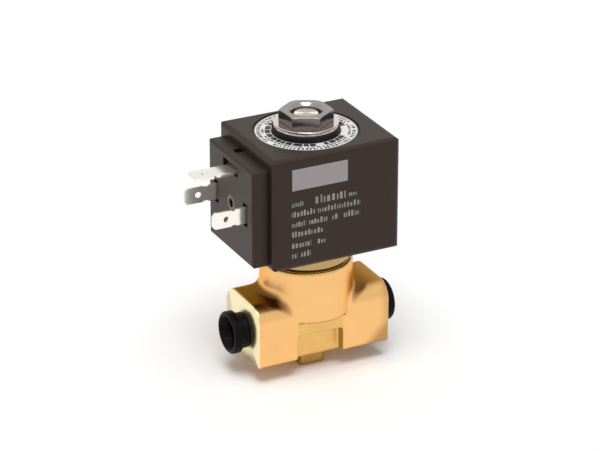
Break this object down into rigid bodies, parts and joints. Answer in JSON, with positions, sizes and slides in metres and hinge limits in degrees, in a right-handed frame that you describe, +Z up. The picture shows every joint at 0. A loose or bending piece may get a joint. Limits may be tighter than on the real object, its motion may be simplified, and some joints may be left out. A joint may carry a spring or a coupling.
{
  "type": "solenoid valve",
  "caption": "Solenoid valve with a forged brass body, threaded ports closed by dust plugs, a plunger tube, and a block coil with connector blades held down by a hexagon nut.",
  "frame": {"origin": "on the stem axis at the sole of the square foot under the body", "axes": "+Z up along the stem from the foot to the coil nut, +X from the inlet port to the outlet port, the connector on the -X side of the coil, and the printed face of the coil towards -Y"},
  "size_m": [0.0596, 0.0333, 0.0748],
  "materials": {
    "brass": "forged, machined on the port and neck faces",
    "stainless": "turned",
    "brown_rubber": "matt",
    "black_rubber": "matt",
    "copper": "bright",
    "coil_resin": "fine moulded grain, satin",
    "yoke_steel": "zinc plated",
    "bobbin_plastic": "moulded",
    "tinned_blade": "tinned, bright",
    "nickel": "nickel plated",
    "label_white": "printed film",
    "plate_silver": "printed silver, satin",
    "plug_plastic": "moulded, semi-gloss"
  },
  "bodies": {
    "valve": {"valve_body": "brass", "valve_seat": "stainless", "tube_gasket": "brown_rubber", "tube_base": "brass", "plunger_tube": "stainless", "fixed_core": "stainless", "shading_ring": "copper", "lower_coil_seal": "black_rubber", "return_spring": "stainless"},
    "plunger": {"plunger": "stainless", "plunger_seal": "black_rubber"},
    "coil": {"coil_housing": "coil_resin", "yoke_frame": "yoke_steel", "coil_bobbin": "bobbin_plastic", "copper_winding": "copper", "line_blade": "tinned_blade", "neutral_blade": "tinned_blade", "ground_blade": "tinned_blade", "screw_insert": "nickel", "label_ring": "label_white", "front_plate": "plate_silver", "upper_coil_seal": "black_rubber", "coil_washer": "nickel"},
    "nut": {"coil_nut": "nickel"},
    "inlet_plug": {"inlet_plug": "plug_plastic"},
    "outlet_plug": {"outlet_plug": "plug_plastic"}
  },
  "joints": [
    {"name": "plunger_lift", "type": "slide", "parent": "valve", "child": "plunger", "axis": [0, 0, 1], "range_m": [0, 0.002], "stiffness_N_per_m": 1000, "springref_m": -0.004, "deforming": ["return_spring"]},
    {"name": "coil_swivel", "type": "hinge", "parent": "valve", "child": "coil", "pos_m": [0, 0, 0.0364], "axis": [0, 0, 1], "continuous": true},
    {"name": "nut_turn", "type": "hinge", "parent": "valve", "child": "nut", "pos_m": [0, 0, 0.07155], "axis": [0, 0, 1], "continuous": true},
    {"name": "inlet_plug_pull", "type": "slide", "parent": "valve", "child": "inlet_plug", "axis": [-1, 0, 0], "range_m": [0, 0.02]},
    {"name": "outlet_plug_pull", "type": "slide", "parent": "valve", "child": "outlet_plug", "axis": [1, 0, 0], "range_m": [0, 0.02]}
  ]
}
